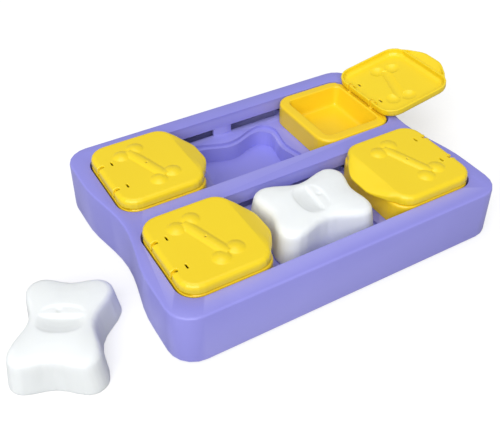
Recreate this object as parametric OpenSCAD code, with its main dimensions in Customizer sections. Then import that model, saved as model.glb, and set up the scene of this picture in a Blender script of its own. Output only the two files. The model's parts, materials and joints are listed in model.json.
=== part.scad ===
// Dog puzzle feeder: a two-lane tray, four sliding treat boxes with flip lids,
// and two hollow bone blocks that cover the treat wells between the boxes.
// Millimetres, +Z up. The origin lies on the floor, below the middle of the whole set as it
// stands, with the lids' lane along X and the front of the tray towards -Y.

/* [Tray] */
// Length of one lane, between its end walls
lane_l = 290.8; // [286:1:300]
// Width of one lane
lane_w = 94.5; // [90:0.5:100]
// Corner radius of a lane
lane_r = 18; // [14:1:20]
// Width of the bar between the lanes
divider_w = 19.5; // [16:0.5:26]
// Width of the long rims
side_rim = 17.7; // [15:0.1:24]
// Width of the short rims at their ends
end_rim = 14.6; // [13:0.1:20]
// Depth of the inward curve of each short end
end_dip = 9.7; // [6:0.1:10]
// Half the height of that curve along Y
end_dip_half = 71; // [60:1:90]
// Corner radius of the tray outline
tray_r = 22; // [18:1:28]
// Height of a lane floor above the ground
lane_floor = 27.4; // [25:0.1:32]
// Depth of a lane below the rim
lane_depth = 21.6; // [20:0.1:24]
// Outward slope of the outer wall from rim to foot
tray_draft = 1.1; // [0.5:0.1:2]
// Rounding of the outer top edge
tray_edge = 2; // [1:0.1:2.4]
// Thickness of the moulded walls and floors
wall = 2.5; // [2:0.1:3]
// Height of the slots that hold the boxes down
slot_h = 8.6; // [7:0.1:10]
// Length of one slot
slot_l = 116; // [108:1:116]
// Solid wall left between the two slots of one side
slot_bridge = 20; // [14:1:20]
// Thickness of the ribs below the floors
rib_t = 2; // [1.5:0.1:2.5]
// Gap between the ribs and the lower edge of the tray
rib_lift = 6; // [3:0.5:10]

/* [Bone wells] */
// Depth of the shallow seat that a bone block drops into
seat_depth = 3; // [2:0.1:3.5]
// Width of the ledge inside the seat
ledge_w = 5.8; // [5.4:0.1:6.8]
// Depth of the treat well below the ledge
well_depth = 16.4; // [12:0.1:17]

/* [Treat boxes] */
// Length of a box
box_l = 83.6; // [82:0.1:85]
// Corner radius of a box
box_r = 17; // [14:0.5:17]
// Free gap at each side of a box
box_gap = 1; // [0.6:0.1:1.5]
// Free gap between a box and the end of its lane
box_end_gap = 1.8; // [1.5:0.1:2.5]
// Height of the box rim above the tray rim
box_rise = 0.8; // [0.4:0.1:1.5]
// Width of the box rim
box_rim = 10; // [8:0.5:12]
// Rounding of the box rim
box_edge = 2.4; // [1.5:0.1:3]
// Inward slope of the bowl from rim to floor
bowl_taper = 4; // [2:0.5:6]
// Wall thickness of the box
box_wall = 2.2; // [1.8:0.1:2.6]
// Length of the side tabs that run in the slots
tab_l = 30; // [20:1:36]
// Thickness of a side tab
tab_t = 3; // [2:0.1:4]
// Reach of a side tab behind the lane wall
tab_hook = 3.5; // [2:0.1:5]

/* [Flip lids] */
// Length of the lid over its box
lid_l = 82; // [81:0.1:82.4]
// Gap between the side of a lid and the side of its box
lid_inset = 0.35; // [0.2:0.05:0.8]
// Height of the lid
lid_h = 8.7; // [8:0.1:10]
// Thickness of the lid
lid_t = 2.2; // [1.6:0.1:2.4]
// Gap between a closed lid and the box rim
lid_gap = 0.5; // [0.3:0.1:0.8]
// Rounding of the lid top
lid_edge = 4; // [3:0.1:4.5]
// Reach of the lifting visor past the lid
visor_reach = 12.6; // [10:0.1:12.6]
// Half the width of the visor at its root
visor_root = 40; // [36:1:42]
// Half the width of the visor at its tip
visor_tip = 8; // [6:0.5:10]
// Thickness of the visor at its tip
visor_t = 2; // [1.6:0.1:2.4]
// Height of the bone relief
relief_h = 2.2; // [1.5:0.1:2.4]
// Radius of the knobs of the relief
knob_r = 8; // [6:0.5:9]
// Half the width of its shaft
shaft_r = 6; // [4:0.5:7]
// Length of the bone relief between its knobs
relief_l = 50; // [40:1:52]
// Diameter of the small dot in the middle of the relief
dot_d = 2; // [1.5:0.1:3]
// Turn of the bone relief from the lane direction
relief_turn = -71.6; // [-75:0.1:-65]

/* [Hinges] */
// Diameter of the hinge pins
pin_d = 3; // [2.6:0.1:3.2]
// Radial running clearance of the lid claws on the pins
pin_clear = 0.07; // [0.03:0.01:0.1]
// Distance from the pin to the end of the lid
hinge_inset = 3.4; // [3.2:0.1:3.8]
// Distance between the two knuckles
knuckle_pitch = 36; // [30:1:44]
// Offset of the knuckles from the middle of the lid
knuckle_shift = 3; // [0:0.5:4]
// Thickness of the ear that carries the pins
ear_t = 3; // [2.6:0.1:4]
// Width of one lid claw
claw_w = 2.6; // [2:0.1:3.2]
// Side gap between a claw and its ear
claw_gap = 0.3; // [0.2:0.05:0.5]
// Wall of a claw around its pin
claw_wall = 1.6; // [1.2:0.1:1.8]
// Distance from the end of the lid to the slits beside the knuckles
slit_inset = 12.8; // [10:0.1:14]
// Width of a slit
slit_w = 1.7; // [1:0.1:1.8]
// Length of a slit
slit_reach = 6; // [4:0.5:8]
// How far the open lid is turned back
open_angle = 170; // [100:1:174]

/* [Bone blocks] */
// Gap along the lane between a treat box and the lobes of the seated block
lobe_gap = 12.5; // [11.5:0.1:13.5]
// Width of a bone block
bone_w = 76.5; // [74:0.5:78]
// Height of a bone block
bone_h = 34; // [33:0.1:40]
// Depth of the waist in each long side
waist_dip = 9.8; // [7:0.1:12]
// Depth of the notch in each end
notch_dip = 4.4; // [4:0.1:6]
// Radius of the four lobes
lobe_r = 14; // [12:0.5:18]
// Inward slope of the sides
bone_draft = 3.2; // [3:0.1:4]
// Rounding of the upper edge
bone_edge = 7; // [5:0.5:8]
// Wall thickness of a bone block
bone_wall = 2.4; // [2:0.1:3]
// Gap between a bone block and its seat
bone_gap = 3.8; // [3.7:0.1:4.1]
// How far the seated block is turned in its seat
seat_turn = -4; // [-4:0.5:4]
// Size of the finger recess across the block
grip_w = 38; // [32:1:42]
// Size of the finger recess along the block
grip_l = 27.5; // [24:0.5:30]
// Offset of the finger recess from the middle of the block
grip_shift = -1.6; // [-3:0.1:0]
// Depth of the finger recess at its pulling edge
grip_depth = 3.6; // [3:0.1:6]
// Depth of the shelf behind the pulling edge
grip_shelf = 1; // [0.6:0.1:1.6]
// Width of that shelf
shelf_l = 8.5; // [7:0.5:10]
// Slope of the pulling edge
pull_slope = 35; // [20:5:45]
// Diameter of the dimple in the shelf
dimple_d = 4.4; // [3:0.2:5]
// Offset of the dimple across the block
dimple_y = 3; // [0:0.5:6]

/* [Rubber feet] */
// Diameter of a foot
foot_d = 20; // [16:0.5:22]
// Height of a foot below the tray
foot_h = 1.2; // [1:0.1:2]
// Distance of a foot's middle from the two sides of the tray
foot_inset = 24; // [22:1:30]
// Wall of the tube that a foot plugs into
socket_wall = 2; // [1.6:0.1:2.6]
// Depth of the foot plug inside its tube
plug_h = 6; // [4:0.5:9]
// Radial gap around the foot plug
plug_gap = 0.2; // [0.1:0.05:0.4]

/* [Layout] */
// How far the middle of the tray lies to the right of the origin
tray_x = 25.7; // [24:0.1:28]
// Loose bone: distance left of the middle of the tray
loose_x = 226; // [224:1:240]
// Loose bone: distance in front of the middle of the tray
loose_y = 55; // [40:1:64]
// Loose bone: turn of its length from X
loose_turn = 60; // [40:1:75]

/* [Hidden] */
$fn = 64;
cut = 1;                       // overlap of a cut past the face that it opens
lane_y = (divider_w + lane_w) / 2;
tray_l = lane_l + 2 * end_rim;
tray_w = 2 * lane_w + divider_w + 2 * side_rim;
tray_top = lane_floor + lane_depth;
tray_base = foot_h;
seat_z = lane_floor - seat_depth;
well_z = seat_z - well_depth;
box_w = lane_w - 2 * box_gap;
box_end = lane_l / 2 - box_end_gap;
box_mid = box_end - box_l / 2;
box_top = tray_top + box_rise;
lid_base = box_top + lid_gap;
lid_top = lid_base + lid_h;
lid_w = box_w - 2 * lid_inset;
lid_mid = box_end - lid_l / 2;
hinge_x = box_end - hinge_inset;
hinge_z = (tray_top + lid_top) / 2;
swing_r = norm([hinge_inset, hinge_z - lid_base]);
swing_clear = 0.7;             // free height between a turning lid and its box
step_z = hinge_z - swing_r - swing_clear;
step_x = box_end - box_rim + 2.4;
ear_r = pin_d / 2 + 0.9;
claw_r = pin_d / 2 + pin_clear + claw_wall;
foot_x = tray_l / 2 - foot_inset;
foot_y = tray_w / 2 - foot_inset;
bone_l = 2 * (lane_l / 2 - box_end_gap - box_l - lobe_gap);
rib_shares = [0.5, 0.78];      // places of the cross ribs from the middle of a lane to its end
knuckles = [for (y = [-1, 1]) knuckle_shift + y * knuckle_pitch / 2];
pin_reach = ear_t / 2 + claw_gap + claw_w;
mouth = 0.43 * pin_d;          // half the open mouth of a claw, less than the pin's radius
purple = [0.58, 0.55, 0.88];
yellow = [0.98, 0.84, 0.16];
white = [0.96, 0.97, 0.98];
rubber = [0.2, 0.2, 0.22];

// 1 in the middle of a dip, falling smoothly to 0 at s = 1
function bump(s) = abs(s) < 1 ? (1 + cos(180 * s)) / 2 : 0;
// 0 below s = 0, 1 above s = 1, smooth between
function ease(s) = let (t = min(1, max(0, s))) t * t * (3 - 2 * t);
function run(a, b, n) = [for (i = [0 : n - 1]) a + (b - a) * i / n];
function arc(x, y, r, from, n) =
    [for (i = [0 : n - 1]) [x + r * cos(from + 90 * i / n), y + r * sin(from + 90 * i / n)]];
// Rounded rectangle, anticlockwise from the foot of its +X side
function soft_box(l, w, r, corner = 5, along_x = 1, along_y = 1) =
    let (x = l / 2, y = w / 2)
    concat(
        run([x, r - y], [x, y - r], along_y), arc(x - r, y - r, r, 0, corner),
        run([x - r, y], [r - x, y], along_x), arc(r - x, y - r, r, 90, corner),
        run([-x, y - r], [-x, r - y], along_y), arc(r - x, r - y, r, 180, corner),
        run([r - x, -y], [x - r, -y], along_x), arc(x - r, r - y, r, 270, corner));
// Draws in the ends by end_share of their distance, and the sides by side_share
function waisted(points, end_share, end_half, side_share, side_half) =
    [for (p = points) [p.x * (1 - end_share * bump(p.y / end_half)),
                       p.y * (1 - side_share * bump(p.x / side_half))]];
function shifted(points, x) = [for (p = points) p + [x, 0]];
function lifted(points, z) = [for (p = points) [p.x, p.y, z]];

// Outline of the tray, moved inwards by inset
function tray_outline(inset) =
    let (l = tray_l - 2 * inset)
    waisted(soft_box(l, tray_w - 2 * inset, tray_r - inset, 5, 1, 16),
            2 * end_dip / l, end_dip_half, 0, 1);
// Outline of a bone block, moved inwards by inset
function bone_outline(inset) =
    let (l = bone_l - 2 * inset, w = bone_w - 2 * inset, k = l / bone_l)
    waisted(soft_box(l, w, min(lobe_r, w / 2 - 0.5) * k, 5, 8, 6),
            2 * notch_dip / bone_l, bone_w * 0.32 * w / bone_w,
            2 * waist_dip / bone_w, bone_l * 0.37 * k);
// How much of the visor shows at distance y from the middle of the lid
function visor_share(y) = ease((visor_root - abs(y)) / (visor_root - visor_tip));

function middle(ring) = [for (k = [0 : 2]) [for (p = ring) 1] * [for (p = ring) p[k]] / len(ring)];

// Solid through rings of equal point counts, from the lowest to the highest
module loft(rings) {
    n = len(rings[0]);
    last = len(rings) - 1;
    low_middle = n * (last + 1);
    polyhedron(
        points = concat([for (ring = rings) for (p = ring) p], [middle(rings[0]), middle(rings[last])]),
        faces = concat(
            [for (i = [0 : n - 1]) [low_middle, i, (i + 1) % n]],
            [for (k = [0 : last - 1]) for (i = [0 : n - 1])
                [k * n + i, (k + 1) * n + i, (k + 1) * n + (i + 1) % n]],
            [for (k = [0 : last - 1]) for (i = [0 : n - 1])
                [k * n + i, (k + 1) * n + (i + 1) % n, k * n + (i + 1) % n]],
            [for (i = [0 : n - 1]) [low_middle + 1, last * n + (i + 1) % n, last * n + i]]));
}

module rounded_slab(l, w, r, h) {
    linear_extrude(h) {
        square([l - 2 * r, w], center = true);
        square([l, w - 2 * r], center = true);
        for (x = [-1, 1], y = [-1, 1]) translate([x * (l / 2 - r), y * (w / 2 - r)]) circle(r);
    }
}

module both_lanes() {
    for (y = [-lane_y, lane_y]) translate([0, y, 0]) children();
}

// side is 1 for the right-hand station and -1 for the left, lane is 1 at the back
module station(side, lane) {
    translate([tray_x, lane * lane_y, 0]) rotate([0, 0, side > 0 ? 0 : 180]) children();
}

// ---- tray ----

module tray_body() {
    loft(concat(
        [lifted(tray_outline(-tray_draft), tray_base)],
        [for (a = [0, 30, 60, 90])
            lifted(tray_outline(tray_edge * (1 - cos(a))), tray_top - tray_edge * (1 - sin(a)))]));
}

module lane_space(grow) {
    translate([0, 0, lane_floor - grow])
        rounded_slab(lane_l + 2 * grow, lane_w + 2 * grow, lane_r + grow, lane_depth + grow + cut);
}

module well_space(grow) {
    translate([0, 0, seat_z - grow])
        linear_extrude(seat_depth + grow + cut) polygon(bone_outline(-bone_gap - grow));
    translate([0, 0, well_z - grow])
        linear_extrude(well_depth + grow + cut) polygon(bone_outline(ledge_w - bone_gap - grow));
}

module slots() {
    for (x = [-1, 1], y = [-1, 1])
        translate([x * (slot_bridge + slot_l) / 2, y * (lane_w + wall) / 2, lane_floor + slot_h / 2])
            cube([slot_l, wall + 2 * cut, slot_h], center = true);
}

module ribs() {
    rib_h = lane_floor - tray_base - rib_lift;
    translate([0, 0, tray_base + rib_lift + rib_h / 2]) {
        for (x = [-1, 1], share = rib_shares)
            translate([x * share * lane_l / 2, 0, 0]) cube([rib_t, tray_w, rib_h], center = true);
        for (y = [-lane_y, 0, lane_y]) translate([0, y, 0]) cube([tray_l, rib_t, rib_h], center = true);
        for (y = [-lane_y, lane_y]) translate([0, y, 0]) cube([rib_t, lane_w, rib_h], center = true);
    }
}

module foot_tubes(r, lift) {
    for (x = [-foot_x, foot_x], y = [-foot_y, foot_y])
        translate([x, y, tray_base + lift]) cylinder(h = lane_floor - wall / 2 - tray_base - lift, r = r);
}

module underside() {
    difference() {
        translate([0, 0, tray_base - cut])
            linear_extrude(tray_top - wall - tray_base + cut) polygon(tray_outline(wall));
        both_lanes() {
            lane_space(wall);
            well_space(wall);
        }
        ribs();
        foot_tubes(foot_d / 2, 0);
    }
}

module tray() {
    color(purple) translate([tray_x, 0, 0]) difference() {
        tray_body();
        both_lanes() {
            lane_space(0);
            well_space(0);
            slots();
        }
        underside();
        for (x = [-foot_x, foot_x], y = [-foot_y, foot_y]) translate([x, y, tray_base - cut])
            cylinder(h = lane_floor - wall - tray_base + cut, r = foot_d / 2 - socket_wall);
    }
}

module foot(side, lane) {
    profile = [[0, 0], [foot_d / 2 - 0.6, 0], [foot_d / 2, 0.6], [foot_d / 2, foot_h],
               [foot_d / 2 - socket_wall - plug_gap, foot_h],
               [foot_d / 2 - socket_wall - plug_gap, foot_h + plug_h - 1],
               [foot_d / 2 - socket_wall - plug_gap - 1, foot_h + plug_h], [0, foot_h + plug_h]];
    color(rubber) translate([tray_x + side * foot_x, lane * foot_y, 0]) rotate_extrude() polygon(profile);
}

// ---- treat boxes ----

function box_outline(inset) =
    shifted(soft_box(box_l - 2 * inset, box_w - 2 * inset, box_r - inset, 6), box_mid);

module bowl(grow, top) {
    bowl_floor = lane_floor + box_wall + 0.4;
    bowl_r = 3;
    loft([
        lifted(box_outline(box_rim + bowl_taper + bowl_r - grow), bowl_floor - grow),
        lifted(box_outline(box_rim + bowl_taper + 0.3 * bowl_r - grow), bowl_floor + 0.3 * bowl_r - grow),
        lifted(box_outline(box_rim + bowl_taper - grow), bowl_floor + bowl_r - grow),
        lifted(box_outline(box_rim - grow), top)]);
}

module box_shell() {
    difference() {
        loft(concat(
            [lifted(box_outline(0), lane_floor)],
            [for (a = [0, 30, 60, 90])
                lifted(box_outline(box_edge * (1 - cos(a))), box_top - box_edge * (1 - sin(a)))]));
        bowl(0, box_top + cut);
        difference() {
            loft([lifted(box_outline(box_wall), lane_floor - cut),
                  lifted(box_outline(box_wall), box_top - box_edge - box_wall),
                  lifted(box_outline(box_wall + box_edge), box_top - box_wall)]);
            bowl(box_wall, box_top);
            hinge_step(box_wall);
        }
        hinge_step(0);
    }
}

// Lowered end of the rim, over which the lid turns
module hinge_step(grow) {
    translate([step_x - grow, -lane_w / 2, step_z - grow]) cube([box_rim, lane_w, tray_top]);
}

module ears_and_pins() {
    ear_foot = step_z - box_wall / 2;
    for (y = knuckles) translate([hinge_x, y, 0]) {
        translate([0, 0, hinge_z]) rotate([90, 0, 0]) cylinder(h = ear_t, r = ear_r, center = true);
        translate([-ear_r, -ear_t / 2, ear_foot]) cube([2 * ear_r, ear_t, hinge_z - ear_foot]);
        translate([0, 0, hinge_z]) rotate([90, 0, 0]) cylinder(h = 2 * pin_reach, d = pin_d, center = true);
    }
}

module side_tabs() {
    reach = box_gap + wall + tab_hook;
    for (y = [-1, 1])
        translate([box_mid, y * (box_w / 2 + (reach - box_wall) / 2), lane_floor + slot_h / 2])
            cube([tab_l, reach + box_wall, tab_t], center = true);
}

module treat_box(side, lane) {
    color(yellow) station(side, lane) {
        box_shell();
        ears_and_pins();
        side_tabs();
    }
}

// ---- flip lids ----

function lid_outline(inset) =
    [for (p = soft_box(lid_l - 2 * inset, lid_w - 2 * inset, box_r - inset, 5, 2, 16))
        [lid_mid + p.x - (p.x < inset - lid_l / 2 + 0.01 ? visor_reach * visor_share(p.y) : 0), p.y]];
function lid_crown(inset) = shifted(
    soft_box(lid_l - 2 * inset, lid_w - 2 * inset, box_r - inset, 5, 2, 16), lid_mid);

// Ring of the lid a degrees round its edge; the visor slopes straight down where the rest is round
function lid_ring(inset, a, top) =
    let (low = lid_outline(inset), high = lid_crown(inset + lid_edge), share = a / 90)
    [for (i = [0 : len(low) - 1])
        let (v = low[i].x < lid_mid - lid_l / 2 + inset + 0.02 ? visor_share(low[i].y) : 0,
             out = (1 - v) * cos(a) + v * (1 - share),
             start = (1 - v) * (top - lid_edge) + v * (top + visor_t - lid_h),
             up = (1 - v) * sin(a) + v * share)
        [high[i].x + (low[i].x - high[i].x) * out, high[i].y + (low[i].y - high[i].y) * out,
         start + (top - start) * up]];

module lid_form(inset, foot, top) {
    loft(concat([lifted(lid_outline(inset), foot)],
                [for (a = [0, 30, 60, 90]) lid_ring(inset, a, top)]));
}

// Bone-shaped swelling: a shaft and four knobs, all parts of round bodies
module relief() {
    knob_body = (knob_r * knob_r + relief_h * relief_h) / (2 * relief_h);
    shaft_body = (shaft_r * shaft_r + relief_h * relief_h) / (2 * relief_h);
    reach = relief_l + 4 * knob_r;
    translate([lid_mid, 0, lid_top]) intersection() {
        rotate([0, 0, relief_turn]) {
            for (x = [-1, 1], y = [-1, 1])
                translate([x * relief_l / 2, y * knob_r, relief_h - knob_body]) sphere(knob_body);
            translate([0, 0, 0.8 * relief_h - shaft_body]) rotate([0, 90, 0])
                cylinder(h = relief_l, r = shaft_body, center = true);
        }
        translate([0, 0, relief_h / 2 - lid_t / 4]) cube([reach, reach, relief_h + lid_t / 2], center = true);
    }
}

module claws() {
    for (y = knuckles, s = [-1, 1])
        translate([hinge_x, y + s * (pin_reach - claw_w / 2), hinge_z])
            rotate([90, 0, 0]) linear_extrude(claw_w, center = true) {
                circle(claw_r);
                translate([-claw_r, 0]) square([2 * claw_r, lid_top - lid_t / 2 - hinge_z]);
            }
}

// Bores of the claws, open below so that they snap over the pins
module pin_seats() {
    seat_l = 2 * (pin_reach + claw_gap);
    for (y = knuckles) translate([hinge_x, y, hinge_z]) {
        rotate([90, 0, 0]) cylinder(h = seat_l, r = pin_d / 2 + pin_clear, center = true);
        translate([-mouth, -seat_l / 2, -lid_h]) cube([2 * mouth, seat_l, lid_h]);
    }
}

// Notches through which the ears pass, and the slits beside the claws
module lid_openings() {
    notch_w = ear_t + claw_gap;
    notch_l = hinge_inset + ear_r + claw_gap;
    for (y = knuckles) {
        translate([box_end - notch_l, y - notch_w / 2, lid_base - cut])
            cube([notch_l + cut, notch_w, lid_h + 2 * cut]);
        translate([box_end - slit_inset - slit_w, y - slit_reach / 2, lid_top - 2 * lid_t])
            cube([slit_w, slit_reach, 3 * lid_t]);
    }
}

// Space inside the lid, with a wall between it and the hollow of the visor, and the relief in its roof
module lid_hollow() {
    difference() {
        lid_form(lid_t, lid_base - cut, lid_top - lid_t);
        translate([lid_mid - lid_l / 2, -lane_w / 2, lid_base]) cube([lid_t, lane_w, lid_h]);
    }
    translate([0, 0, -lid_t]) relief();
}

module lid_shape() {
    difference() {
        union() {
            difference() {
                union() {
                    lid_form(0, lid_base, lid_top);
                    relief();
                }
                lid_hollow();
            }
            claws();
        }
        pin_seats();
        lid_openings();
        translate([lid_mid, 0, lid_top + relief_h / 4]) cylinder(h = relief_h, d = dot_d);
    }
}

module flip_lid(side, lane, turn) {
    color(yellow) station(side, lane)
        translate([hinge_x, 0, hinge_z]) rotate([0, turn, 0]) translate([-hinge_x, 0, -hinge_z])
            lid_shape();
}

// ---- bone blocks ----

// Oval of the finger recess at size k, moved along the block by shift
function grip_oval(k, shift) =
    [for (i = [0 : 31]) let (c = cos(i * 11.25), d = sin(i * 11.25), e = pow(pow(abs(c), 2.5) + pow(abs(d), 2.5), -0.4))
        [k * grip_l / 2 * c * e + shift, k * grip_w / 2 * d * e]];

// Oval scoop that deepens towards a straight pulling edge, with a shelf and a dimple behind it
module grip() {
    pull_x = grip_l / 2 - shelf_l;
    translate([grip_shift, 0, bone_h]) {
        linear_extrude(2 * grip_shelf, center = true) polygon(grip_oval(1, 0));
        intersection() {
            loft([
                lifted(grip_oval(0.5, 5), -grip_depth), lifted(grip_oval(0.72, 3.2), -0.8 * grip_depth),
                lifted(grip_oval(0.9, 1.2), -0.45 * grip_depth), lifted(grip_oval(1, 0), -0.9 * grip_shelf),
                lifted(grip_oval(1, 0), cut)]);
            translate([pull_x, 0, 0]) rotate([0, pull_slope, 0]) translate([-grip_l, 0, 0])
                cube([2 * grip_l, grip_w + 2 * cut, 4 * grip_l], center = true);
        }
        translate([pull_x + shelf_l / 2 - 0.5, dimple_y, -2 * grip_shelf]) cylinder(h = bone_h, d = dimple_d);
    }
}

module bone_block() {
    shoulder = bone_h - bone_edge - 1.6;
    dome = bone_draft + bone_edge;
    inner_top = bone_h - grip_depth - bone_wall;
    difference() {
        loft(concat(
            [lifted(bone_outline(0), 0)],
            [for (a = [0, 22.5, 45, 67.5]) lifted(
                bone_outline(bone_draft + bone_edge * (1 - cos(a))), shoulder + bone_edge * sin(a))],
            [lifted(bone_outline(dome + 1), bone_h - 1.45), lifted(bone_outline(dome + 10), bone_h - 0.4),
             lifted(bone_outline(dome + 18), bone_h)]));
        loft([lifted(bone_outline(bone_wall), -cut),
              lifted(bone_outline(bone_draft + bone_wall), shoulder - 3),
              lifted(bone_outline(bone_draft + bone_wall + 3), inner_top)]);
        grip();
    }
}

module seated_bone() {
    color(white) translate([tray_x, -lane_y, seat_z]) rotate([0, 0, seat_turn]) bone_block();
}

module loose_bone() {
    color(white) translate([tray_x - loose_x, -loose_y, 0]) rotate([0, 0, loose_turn]) bone_block();
}

tray();
treat_box(-1, 1);  // treat_box_back_left
treat_box(1, 1);  // treat_box_back_right
treat_box(-1, -1);  // treat_box_front_left
treat_box(1, -1);  // treat_box_front_right
flip_lid(-1, 1, 0);  // lid_back_left
flip_lid(1, 1, open_angle);  // lid_back_right
flip_lid(-1, -1, 0);  // lid_front_left
flip_lid(1, -1, 0);  // lid_front_right
seated_bone();  // bone_seated
loose_bone();  // bone_loose
foot(-1, 1);  // foot_back_left
foot(1, 1);  // foot_back_right
foot(-1, -1);  // foot_front_left
foot(1, -1);  // foot_front_right
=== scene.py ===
import bpy
import bmesh
import json
import math
from mathutils import Matrix, Vector


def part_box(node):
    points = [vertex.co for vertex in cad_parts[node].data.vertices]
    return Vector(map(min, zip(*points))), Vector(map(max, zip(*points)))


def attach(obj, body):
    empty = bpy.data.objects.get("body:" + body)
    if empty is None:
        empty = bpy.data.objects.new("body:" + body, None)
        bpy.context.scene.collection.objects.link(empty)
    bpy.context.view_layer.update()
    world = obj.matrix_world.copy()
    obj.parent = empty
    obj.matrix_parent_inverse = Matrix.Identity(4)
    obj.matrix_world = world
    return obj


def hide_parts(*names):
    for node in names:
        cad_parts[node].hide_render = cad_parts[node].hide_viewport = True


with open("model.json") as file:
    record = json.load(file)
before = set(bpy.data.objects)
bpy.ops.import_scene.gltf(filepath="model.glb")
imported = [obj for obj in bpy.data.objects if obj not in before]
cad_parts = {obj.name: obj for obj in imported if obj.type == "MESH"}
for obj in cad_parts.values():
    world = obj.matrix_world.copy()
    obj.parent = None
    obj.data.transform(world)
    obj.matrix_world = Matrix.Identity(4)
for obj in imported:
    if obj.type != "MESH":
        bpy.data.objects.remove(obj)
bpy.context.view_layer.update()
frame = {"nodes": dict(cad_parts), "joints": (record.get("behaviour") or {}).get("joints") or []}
nodes = frame["nodes"]
joints = {j["name"]: j for j in frame["joints"]}

mm = 0.001


def deselectAll():
    if bpy.context.mode != "OBJECT":
        bpy.ops.object.mode_set(mode="OBJECT")
    bpy.ops.object.select_all(action="DESELECT")


def makeActive(piece):
    deselectAll()
    piece.select_set(True)
    bpy.context.view_layer.objects.active = piece


def applyModifiers(piece):
    makeActive(piece)
    for modifier in list(piece.modifiers):
        bpy.ops.object.modifier_apply(modifier=modifier.name)


def mergedCopy(nodeName, pieceName):
    # a frame node is loose triangles, so its copy is merged and its flat faces are joined up
    mesh = nodes[nodeName].data.copy()
    piece = bpy.data.objects.new(pieceName, mesh)
    bpy.context.scene.collection.objects.link(piece)
    mesh.materials.clear()
    makeActive(piece)
    bpy.ops.object.mode_set(mode="EDIT")
    bpy.ops.mesh.select_all(action="SELECT")
    bpy.ops.mesh.remove_doubles(threshold=0.01 * mm)
    bpy.ops.mesh.dissolve_limited(angle_limit=math.radians(0.6))
    bpy.ops.object.mode_set(mode="OBJECT")
    return piece


def copyPiece(piece, pieceName, matrix):
    twin = bpy.data.objects.new(pieceName, piece.data.copy())
    bpy.context.scene.collection.objects.link(twin)
    twin.data.transform(matrix)
    twin.data.update()
    return twin


def smoothShade(piece, angle):
    makeActive(piece)
    bpy.ops.object.shade_smooth_by_angle(angle=math.radians(angle))


def middleOf(nodeName):
    low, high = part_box(nodeName)
    return Vector([(a + b) / 2 for a, b in zip(low, high)])


def turnAbout(point, axis, degrees):
    back = Matrix.Translation(point)
    return back @ Matrix.Rotation(math.radians(degrees), 4, axis) @ back.inverted()


def newGroup(name, inputs, outputs):
    group = bpy.data.node_groups.new(name, "ShaderNodeTree")
    for socketName, kind, value in inputs:
        socket = group.interface.new_socket(name=socketName, in_out="INPUT", socket_type=kind)
        socket.default_value = value
    for socketName, kind in outputs:
        group.interface.new_socket(name=socketName, in_out="OUTPUT", socket_type=kind)
    start = group.nodes.new("NodeGroupInput")
    end = group.nodes.new("NodeGroupOutput")
    start.location = (-900, 0)
    end.location = (700, 0)
    return group, start, end


def addNode(tree, kind, at, **settings):
    node = tree.nodes.new(kind)
    node.location = at
    for key, value in settings.items():
        setattr(node, key, value)
    return node


def mathNode(tree, operation, a, b, at):
    node = addNode(tree, "ShaderNodeMath", at, operation=operation)
    for index, value in enumerate((a, b)):
        if isinstance(value, (int, float)):
            node.inputs[index].default_value = value
        elif value is not None:
            tree.links.new(value, node.inputs[index])
    return node.outputs[0]


skinTone = {"grainDetail": 3, "flowScale": 16, "flowDetail": 2, "flowWarp": 0.6, "flowFrom": 0.3, "flowTo": 0.75,
            "flowMost": 0.8, "rubStretch": (60, 900, 500), "rubTurn": 0.6, "rubDetail": 4, "rubFrom": 0.56,
            "rubTo": 0.74, "rubDepth": 0.6, "grainRough": 0.08}


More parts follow.
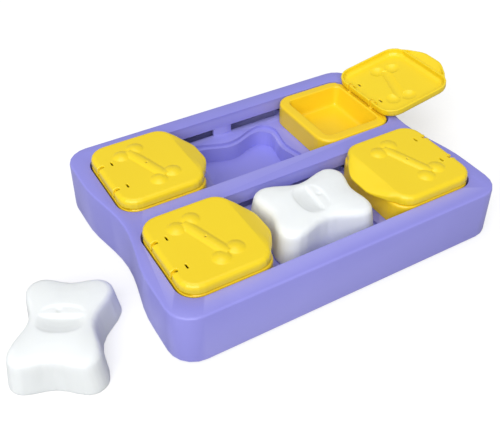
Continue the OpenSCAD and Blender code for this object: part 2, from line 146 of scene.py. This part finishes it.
def mouldedSkinGroup():
    # satin skin of an injection moulding: fine spark-eroded grain, slow flow shading, faint rub marks
    tree, start, end = newGroup("mouldedSkin", [
        ("Colour", "NodeSocketColor", (0.8, 0.8, 0.8, 1)),
        ("Flow Colour", "NodeSocketColor", (0.7, 0.7, 0.7, 1)),
        ("Grain Scale", "NodeSocketFloat", 2500.0),
        ("Gloss", "NodeSocketFloat", 0.3),
        ("Rub", "NodeSocketFloat", 0.1)], [
        ("Colour", "NodeSocketColor"), ("Roughness", "NodeSocketFloat"), ("Height", "NodeSocketFloat")])
    where = addNode(tree, "ShaderNodeTexCoord", (-1100, -200)).outputs["Object"]
    grain = addNode(tree, "ShaderNodeTexNoise", (-600, 200))
    grain.inputs["Detail"].default_value = skinTone["grainDetail"]
    tree.links.new(where, grain.inputs["Vector"])
    tree.links.new(start.outputs["Grain Scale"], grain.inputs["Scale"])
    flow = addNode(tree, "ShaderNodeTexNoise", (-600, -50))
    flow.inputs["Scale"].default_value = skinTone["flowScale"]
    flow.inputs["Detail"].default_value = skinTone["flowDetail"]
    flow.inputs["Distortion"].default_value = skinTone["flowWarp"]
    tree.links.new(where, flow.inputs["Vector"])
    stretch = addNode(tree, "ShaderNodeMapping", (-850, -350))
    stretch.inputs["Scale"].default_value = skinTone["rubStretch"]
    stretch.inputs["Rotation"].default_value = (0, 0, skinTone["rubTurn"])
    tree.links.new(where, stretch.inputs["Vector"])
    rub = addNode(tree, "ShaderNodeTexNoise", (-600, -350))
    rub.inputs["Scale"].default_value = 1
    rub.inputs["Detail"].default_value = skinTone["rubDetail"]
    tree.links.new(stretch.outputs[0], rub.inputs["Vector"])
    rubRamp = addNode(tree, "ShaderNodeValToRGB", (-400, -350))
    rubRamp.color_ramp.elements[0].position = skinTone["rubFrom"]
    rubRamp.color_ramp.elements[1].position = skinTone["rubTo"]
    tree.links.new(rub.outputs[0], rubRamp.inputs[0])
    flowMix = addNode(tree, "ShaderNodeMix", (-100, 100), data_type="RGBA")
    flowRamp = addNode(tree, "ShaderNodeMapRange", (-350, -50))
    flowRamp.inputs["From Min"].default_value = skinTone["flowFrom"]
    flowRamp.inputs["From Max"].default_value = skinTone["flowTo"]
    flowRamp.inputs["To Max"].default_value = skinTone["flowMost"]
    tree.links.new(flow.outputs[0], flowRamp.inputs[0])
    tree.links.new(flowRamp.outputs[0], flowMix.inputs[0])
    tree.links.new(start.outputs["Colour"], flowMix.inputs[6])
    tree.links.new(start.outputs["Flow Colour"], flowMix.inputs[7])
    tree.links.new(flowMix.outputs[2], end.inputs["Colour"])
    rubbed = mathNode(tree, "MULTIPLY", rubRamp.outputs[0], start.outputs["Rub"], (-100, -350))
    fine = mathNode(tree, "MULTIPLY", grain.outputs[0], skinTone["grainRough"], (-100, -150))
    rough = mathNode(tree, "ADD", start.outputs["Gloss"], fine, (100, -150))
    rough = mathNode(tree, "ADD", rough, rubbed, (300, -150))
    tree.links.new(rough, end.inputs["Roughness"])
    worn = mathNode(tree, "MULTIPLY", rubbed, -skinTone["rubDepth"], (100, 200))
    height = mathNode(tree, "ADD", grain.outputs[0], worn, (300, 200))
    tree.links.new(height, end.inputs["Height"])
    return tree


# how far a surface bends outward before the painted rim highlight starts, and where it is full
rimTone = {"bendFrom": 0.52, "bendTo": 0.62}


def edgeHighlightGroup():
    # painted highlight: rims are painted lighter, from how far the surface bends outward
    tree, start, end = newGroup("paintedEdgeHighlight", [
        ("Colour", "NodeSocketColor", (0.8, 0.8, 0.8, 1)),
        ("Highlight Colour", "NodeSocketColor", (1, 1, 1, 1)),
        ("Highlight", "NodeSocketFloat", 0.2)], [("Colour", "NodeSocketColor")])
    bend = addNode(tree, "ShaderNodeNewGeometry", (-800, 200)).outputs["Pointiness"]
    ramp = addNode(tree, "ShaderNodeMapRange", (-550, 200))
    ramp.inputs["From Min"].default_value = rimTone["bendFrom"]
    ramp.inputs["From Max"].default_value = rimTone["bendTo"]
    tree.links.new(bend, ramp.inputs[0])
    share = mathNode(tree, "MULTIPLY", ramp.outputs[0], start.outputs["Highlight"], (-300, 200))
    mix = addNode(tree, "ShaderNodeMix", (0, 100), data_type="RGBA")
    tree.links.new(share, mix.inputs[0])
    tree.links.new(start.outputs["Colour"], mix.inputs[6])
    tree.links.new(start.outputs["Highlight Colour"], mix.inputs[7])
    tree.links.new(mix.outputs[2], end.inputs["Colour"])
    return tree


skinGroup = mouldedSkinGroup()
rimGroup = edgeHighlightGroup()


plasticBase = {"ior": 1.5, "bumpHeight": 0.05 * mm, "glowReach": (0.004, 0.003, 0.002)}


def plastic(name, look):
    material = bpy.data.materials.new(name)
    material.use_nodes = True
    tree = material.node_tree
    shader = tree.nodes["Principled BSDF"]
    skin = addNode(tree, "ShaderNodeGroup", (-900, 100), node_tree=skinGroup)
    skin.inputs["Colour"].default_value = (*look["colour"], 1)
    skin.inputs["Flow Colour"].default_value = (*look["flowColour"], 1)
    skin.inputs["Grain Scale"].default_value = look["grainScale"]
    skin.inputs["Gloss"].default_value = look["gloss"]
    skin.inputs["Rub"].default_value = look["rub"]
    # painted highlight: a paler colour mixed over the skin colour on the rims
    rim = addNode(tree, "ShaderNodeGroup", (-600, 200), node_tree=rimGroup)
    rim.inputs["Highlight Colour"].default_value = (*look["rimColour"], 1)
    rim.inputs["Highlight"].default_value = look["rim"]
    tree.links.new(skin.outputs["Colour"], rim.inputs["Colour"])
    tree.links.new(rim.outputs["Colour"], shader.inputs["Base Color"])
    tree.links.new(skin.outputs["Roughness"], shader.inputs["Roughness"])
    bump = addNode(tree, "ShaderNodeBump", (-350, -250))
    bump.inputs["Strength"].default_value = look["grainStrength"]
    bump.inputs["Distance"].default_value = plasticBase["bumpHeight"]
    tree.links.new(skin.outputs["Height"], bump.inputs["Height"])
    tree.links.new(bump.outputs[0], shader.inputs["Normal"])
    shader.inputs["IOR"].default_value = plasticBase["ior"]
    shader.inputs["Subsurface Weight"].default_value = look.get("glow", 0)
    shader.inputs["Subsurface Radius"].default_value = look.get("glowReach", plasticBase["glowReach"])
    shader.inputs["Subsurface Scale"].default_value = 1.0
    return material


# each finish's pale rim colour and its strength are a painted highlight on the rims
looks = {
    "tray": {"colour": (0.275, 0.268, 0.735), "flowColour": (0.255, 0.248, 0.70), "rimColour": (0.50, 0.49, 0.96),
             "rim": 0.35, "grainScale": 2600, "gloss": 0.30, "rub": 0.08, "grainStrength": 0.25},
    # the box is the lid's plastic, painted a little darker and more orange as painted shade
    "box": {"colour": (0.90, 0.62, 0.014), "flowColour": (0.88, 0.58, 0.012), "rimColour": (0.98, 0.80, 0.10),
            "rim": 0.3, "grainScale": 2600, "gloss": 0.28, "rub": 0.06, "grainStrength": 0.2},
    "lid": {"colour": (0.89, 0.66, 0.014), "flowColour": (0.87, 0.63, 0.012), "rimColour": (0.98, 0.80, 0.12),
            "rim": 0.3, "grainScale": 2600, "gloss": 0.28, "rub": 0.08, "grainStrength": 0.2},
    "bone": {"colour": (0.90, 0.95, 0.98), "flowColour": (0.88, 0.935, 0.97), "rimColour": (0.95, 0.98, 0.99),
             "rim": 0.25, "grainScale": 2600, "gloss": 0.32, "rub": 0.06, "grainStrength": 0.2,
             "glow": 0.5, "glowReach": (0.010, 0.010, 0.011)},
    # the gate stub is the lid's plastic, painted dark brown as painted shade of the small centre dot
    "shadedGate": {"colour": (0.42, 0.27, 0.02), "flowColour": (0.36, 0.22, 0.02), "rimColour": (0.6, 0.42, 0.04),
             "rim": 0.4, "grainScale": 2600, "gloss": 0.4, "rub": 0.1, "grainStrength": 0.2},
    "foot": {"colour": (0.03, 0.03, 0.034), "flowColour": (0.04, 0.04, 0.044), "rimColour": (0.1, 0.1, 0.1),
             "rim": 0.4, "grainScale": 1200, "gloss": 0.62, "rub": 0.1, "grainStrength": 0.8},
}
materials = {name: plastic(name + "Finish", look) for name, look in looks.items()}
print("materials made", sorted(materials))


def dress(piece, look, body, slotName, *replaced):
    piece.data.materials.clear()
    piece.data.materials.append(materials[look])
    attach(piece, body)
    if replaced:
        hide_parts(*replaced)


trayShape = {"edgeRound": 0.7 * mm, "edgeSteps": 3, "edgeAngle": 40, "smoothAngle": 35}

tray = mergedCopy("tray", "tray_moulding")
bevel = tray.modifiers.new("softEdges", "BEVEL")
bevel.width = trayShape["edgeRound"]
bevel.segments = trayShape["edgeSteps"]
bevel.limit_method = "ANGLE"
bevel.angle_limit = math.radians(trayShape["edgeAngle"])
bevel.miter_outer = "MITER_ARC"
applyModifiers(tray)
smoothShade(tray, trayShape["smoothAngle"])
dress(tray, "tray", "tray", "tray_plastic", "tray")
print("tray done", len(tray.data.polygons))


shellSkin = {"relax": 0.5, "smoothAngle": 50}


def softShell(piece, voxel, rounds, keep):
    # even skin over the whole moulding, relaxed a little, so that every edge is a small radius
    remesh = piece.modifiers.new("evenSkin", "REMESH")
    remesh.mode = "VOXEL"
    remesh.voxel_size = voxel
    relax = piece.modifiers.new("relax", "SMOOTH")
    relax.factor = shellSkin["relax"]
    relax.iterations = rounds
    thin = piece.modifiers.new("thin", "DECIMATE")
    thin.ratio = keep
    applyModifiers(piece)
    smoothShade(piece, shellSkin["smoothAngle"])


lidShape = {"voxel": 0.5 * mm, "rounds": 6, "keep": 0.6}
lid = mergedCopy("lid_front_right", "lid_front_right_shell")
softShell(lid, lidShape["voxel"], lidShape["rounds"], lidShape["keep"])
print("lid done", len(lid.data.polygons))

boxShape = {"voxel": 0.65 * mm, "rounds": 5, "keep": 0.6}
treatBox = mergedCopy("treat_box_front_right", "treat_box_front_right_shell")
softShell(treatBox, boxShape["voxel"], boxShape["rounds"], boxShape["keep"])
print("box done", len(treatBox.data.polygons))

boneShape = {"voxel": 0.75 * mm, "rounds": 10, "keep": 0.7, "seatedTurn": -4, "looseTurn": 60}
bone = mergedCopy("bone_seated", "bone_seated_shell")
softShell(bone, boneShape["voxel"], boneShape["rounds"], boneShape["keep"])
print("bone done", len(bone.data.polygons))


hingeFrontRight = Vector(joints["lid_front_right_hinge"]["pos_m"])
laneShift = Vector(joints["lid_back_right_hinge"]["pos_m"]) - hingeFrontRight
trayMiddle = (hingeFrontRight + Vector(joints["lid_front_left_hinge"]["pos_m"])) / 2
halfTurn = turnAbout(trayMiddle, "Z", 180)
backShift = Matrix.Translation(laneShift)
stations = {"front_left": halfTurn, "back_right": backShift, "back_left": backShift @ halfTurn}
openAngle = -joints["lid_back_right_hinge"]["range_deg"][0]

gateShape = {"radius": 1.2 * mm, "step": 0.35 * mm, "rise": 0.25 * mm, "round": 0.08 * mm,
             "roundSteps": 2, "sides": 28, "smoothAngle": 40, "castFrom": 1.0}


def topOf(piece, x, y):
    hit, place, normal, face = piece.ray_cast(Vector((x, y, gateShape["castFrom"])), Vector((0, 0, -1)))
    return place.z


def gateMark(pieceName, x, y, z):
    # stub where the gate was nipped off: a dished button standing a little proud of the relief
    deselectAll()
    bpy.ops.mesh.primitive_circle_add(vertices=gateShape["sides"], radius=gateShape["radius"],
                                      fill_type="NGON", location=(x, y, z - gateShape["rise"]))
    stub = bpy.context.object
    stub.name = pieceName
    bpy.ops.object.mode_set(mode="EDIT")
    bpy.ops.mesh.select_all(action="SELECT")
    bpy.ops.mesh.extrude_region_move(TRANSFORM_OT_translate={"value": (0, 0, 2 * gateShape["rise"])})
    bpy.ops.mesh.inset(thickness=gateShape["step"])
    bpy.ops.transform.translate(value=(0, 0, -gateShape["rise"]))
    bpy.ops.mesh.select_all(action="SELECT")
    bpy.ops.mesh.normals_make_consistent(inside=False)
    bpy.ops.object.mode_set(mode="OBJECT")
    deselectAll()
    stub.select_set(True)
    bpy.ops.object.transform_apply(location=True)
    rounded = stub.modifiers.new("rounded", "BEVEL")
    rounded.width = gateShape["round"]
    rounded.segments = gateShape["roundSteps"]
    rounded.limit_method = "ANGLE"
    applyModifiers(stub)
    smoothShade(stub, gateShape["smoothAngle"])
    return stub


lidMiddle = middleOf("treat_box_front_right")
lidTop = topOf(lid, lidMiddle.x, lidMiddle.y)
# the stub carries the dark painted shade of the lid's centre dot
shadedGate = gateMark("lid_front_right_gate", lidMiddle.x, lidMiddle.y, lidTop)
dress(shadedGate, "shadedGate", "lid_front_right", "lid_plastic")

dress(treatBox, "box", "treat_box_front_right", "box_plastic", "treat_box_front_right")
dress(lid, "lid", "lid_front_right", "lid_plastic", "lid_front_right")
for station, matrix in stations.items():
    shell = copyPiece(treatBox, "treat_box_" + station + "_shell", matrix)
    dress(shell, "box", "treat_box_" + station, "box_plastic", "treat_box_" + station)
    lidMatrix = matrix
    if station == "back_right":
        lidMatrix = matrix @ turnAbout(hingeFrontRight, "Y", openAngle)
    cover = copyPiece(lid, "lid_" + station + "_shell", lidMatrix)
    dress(cover, "lid", "lid_" + station, "lid_plastic", "lid_" + station)
    mark = copyPiece(shadedGate, "lid_" + station + "_gate", lidMatrix)
    dress(mark, "shadedGate", "lid_" + station, "lid_plastic")

dress(bone, "bone", "bone_seated", "bone_plastic", "bone_seated")
seat = middleOf("bone_seated")
ground = middleOf("bone_loose")
boneTurn = Matrix.Rotation(math.radians(boneShape["looseTurn"] - boneShape["seatedTurn"]), 4, "Z")
boneMove = Matrix.Translation(ground) @ boneTurn @ Matrix.Translation(-seat)
looseBone = copyPiece(bone, "bone_loose_shell", boneMove)
dress(looseBone, "bone", "bone_loose", "bone_plastic", "bone_loose")

for name, node in nodes.items():
    if name.startswith("foot"):
        node.data.materials.clear()
        node.data.materials.append(materials["foot"])
print("copies placed")


# the floor is paler to the camera than to the toy, so that the paper is white and its shadow stays
floorLook = {"size": 6.0, "colour": (0.5, 0.5, 0.5), "roughness": 0.9, "white": 0.54}
deselectAll()
bpy.ops.mesh.primitive_plane_add(size=floorLook["size"], location=(0, 0, 0))
floor = bpy.context.object
floor.name = "floor"
floorMaterial = bpy.data.materials.new("floorPaper")
floorMaterial.use_nodes = True
floorTree = floorMaterial.node_tree
floorShader = floorTree.nodes["Principled BSDF"]
floorShader.inputs["Base Color"].default_value = (*floorLook["colour"], 1)
floorShader.inputs["Roughness"].default_value = floorLook["roughness"]
floorShader.inputs["Specular IOR Level"].default_value = 0
path = addNode(floorTree, "ShaderNodeLightPath", (-400, -200))
seen = mathNode(floorTree, "MULTIPLY", path.outputs["Is Camera Ray"], floorLook["white"], (-200, -200))
floorShader.inputs["Emission Color"].default_value = (1, 1, 1, 1)
floorTree.links.new(seen, floorShader.inputs["Emission Strength"])
floor.data.materials.append(floorMaterial)

studio = {"world": 0.37,
          "overhead": {"at": (-0.4, 0.6, 4.8), "size": (3.2, 2.8), "power": 56},
          "keyFrontLeft": {"at": (-3.2, -3.4, 4.0), "size": (6.0, 4.8), "power": 345}}
world = bpy.data.worlds.new("studio")
bpy.context.scene.world = world
world.use_nodes = True
worldTree = world.node_tree
background = worldTree.nodes["Background"]
background.inputs["Color"].default_value = (1, 1, 1, 1)
background.inputs["Strength"].default_value = studio["world"]


def softLamp(name, lampPlace):
    data = bpy.data.lights.new(name, "AREA")
    data.shape = "RECTANGLE"
    data.size, data.size_y = lampPlace["size"]
    data.energy = lampPlace["power"]
    lamp = bpy.data.objects.new(name, data)
    bpy.context.scene.collection.objects.link(lamp)
    lamp.location = lampPlace["at"]
    lamp.rotation_euler = (-lamp.location).to_track_quat("-Z", "Y").to_euler()


for name in ("overhead", "keyFrontLeft"):
    softLamp(name, studio[name])
print("studio lit")

cameraPlace = {"fromTrayMiddle": (-0.2860, -0.44063, 0.44870), "look": (0.38124, 0.65217, -0.65524),
               "lens": 52.13, "sensor": 36, "clip": 0.01}
cameraData = bpy.data.cameras.new("photoCamera")
cameraData.lens = cameraPlace["lens"]
cameraData.sensor_width = cameraPlace["sensor"]
cameraData.sensor_fit = "HORIZONTAL"
cameraData.clip_start = cameraPlace["clip"]
camera = bpy.data.objects.new("photoCamera", cameraData)
bpy.context.scene.collection.objects.link(camera)
offset = Vector(cameraPlace["fromTrayMiddle"])
camera.location = (trayMiddle.x + offset.x, offset.y, offset.z)
camera.rotation_euler = Vector(cameraPlace["look"]).to_track_quat("-Z", "Y").to_euler()
bpy.context.scene.camera = camera
bpy.context.scene.view_settings.view_transform = "Standard"
